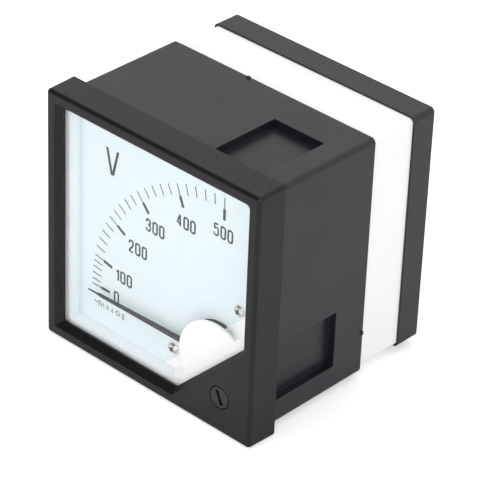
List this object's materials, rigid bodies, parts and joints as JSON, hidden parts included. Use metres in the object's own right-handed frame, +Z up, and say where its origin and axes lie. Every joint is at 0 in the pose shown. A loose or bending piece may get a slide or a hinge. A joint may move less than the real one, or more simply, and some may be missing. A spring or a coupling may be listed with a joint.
{
  "type": "analog panel meter",
  "caption": "Square flush-mounting moving-iron voltmeter with a quadrant scale, zero screw, black bezel and stepped housing with rear terminals.",
  "frame": {"origin": "centre of the square housing in the plane of the seat, the rear face of the bezel", "axes": "+X to the right seen from the front, +Y to the rear through the panel, +Z up"},
  "size_m": [0.08, 0.0873, 0.08],
  "materials": {
    "bezel_plastic": "black moulded plastic, fine satin grain",
    "case_plastic": "black moulded plastic, fine satin grain",
    "white_plastic": "white moulded plastic, satin",
    "clear_window": "clear flat window",
    "dial_paint": "pale enamel on sheet metal",
    "black_aluminium": "black lacquer on sheet aluminium",
    "screw_plastic": "black moulded plastic",
    "steel": "zinc-plated steel",
    "bright_steel": "bright zinc plate",
    "soft_iron": "annealed soft iron",
    "spring_bronze": "phosphor bronze",
    "aluminium": "rolled sheet",
    "brass": "turned brass",
    "bobbin_plastic": "moulded natural nylon",
    "copper": "enamelled copper wire",
    "magnet": "cast magnet alloy",
    "board": "paper-phenolic board",
    "resistor_ceramic": "coated ceramic"
  },
  "bodies": {
    "case": {"base_frame": "white_plastic", "body_case": "case_plastic", "bridge_screw_1": "steel", "bridge_screw_2": "steel", "case_screw_1": "steel", "case_screw_2": "steel", "case_screw_3": "steel", "case_screw_4": "steel", "coil_bobbin": "bobbin_plastic", "coil_winding": "copper", "damping_magnet": "magnet", "dial_plate": "dial_paint", "dial_post_1": "brass", "dial_post_2": "brass", "dial_screw_1": "bright_steel", "dial_screw_2": "bright_steel", "dial_surround": "white_plastic", "fixed_iron": "soft_iron", "front_bezel": "bezel_plastic", "front_bridge": "steel", "front_jewel_screw": "brass", "hairspring": "spring_bronze", "hub_cover": "white_plastic", "movement_plate": "steel", "pillar_screw_1": "steel", "pillar_screw_2": "steel", "pillar_screw_3": "steel", "plate_pillar_1": "brass", "plate_pillar_2": "brass", "plate_pillar_3": "brass", "plate_screw": "steel", "rear_bridge": "steel", "rear_bridge_screw_1": "steel", "rear_bridge_screw_2": "steel", "rear_cover": "case_plastic", "rear_jewel_screw": "brass", "resistor_board": "board", "series_resistor_1": "resistor_ceramic", "series_resistor_2": "resistor_ceramic", "terminal_nut_1": "brass", "terminal_nut_2": "brass", "terminal_strap_1": "brass", "terminal_strap_2": "brass", "terminal_stud_1": "brass", "terminal_stud_2": "brass", "terminal_washer_1": "brass", "terminal_washer_2": "brass", "window": "clear_window"},
    "movement": {"pointer": "black_aluminium", "spindle": "steel", "damping_vane": "aluminium", "moving_iron": "soft_iron", "balance_cross": "brass", "balance_weight_1": "brass", "balance_weight_2": "brass", "balance_weight_3": "brass"},
    "zero_adjuster": {"zero_screw": "screw_plastic", "zero_ring": "steel"},
    "zero_arm": {"zero_lever": "spring_bronze"}
  },
  "joints": [
    {"name": "pointer_turn", "type": "hinge", "parent": "case", "child": "movement", "pos_m": [0.0213, 0, -0.0213], "axis": [0, 1, 0], "range_deg": [-1.5, 92.5], "stiffness_Nm_per_rad": 0.0003, "deforming": ["hairspring"]},
    {"name": "zero_screw_turn", "type": "hinge", "parent": "case", "child": "zero_adjuster", "pos_m": [0.0283, 0, -0.0283], "axis": [0, 1, 0], "range_deg": [-60, 60]},
    {"name": "zero_lever_turn", "type": "hinge", "parent": "case", "child": "zero_arm", "pos_m": [0.0213, 0, -0.0213], "axis": [0, 1, 0], "range_deg": [-7.5, 7.5]}
  ],
  "couplings": [
    {"joint": "zero_lever_turn", "follows": "zero_screw_turn", "ratio": 0.121}
  ]
}
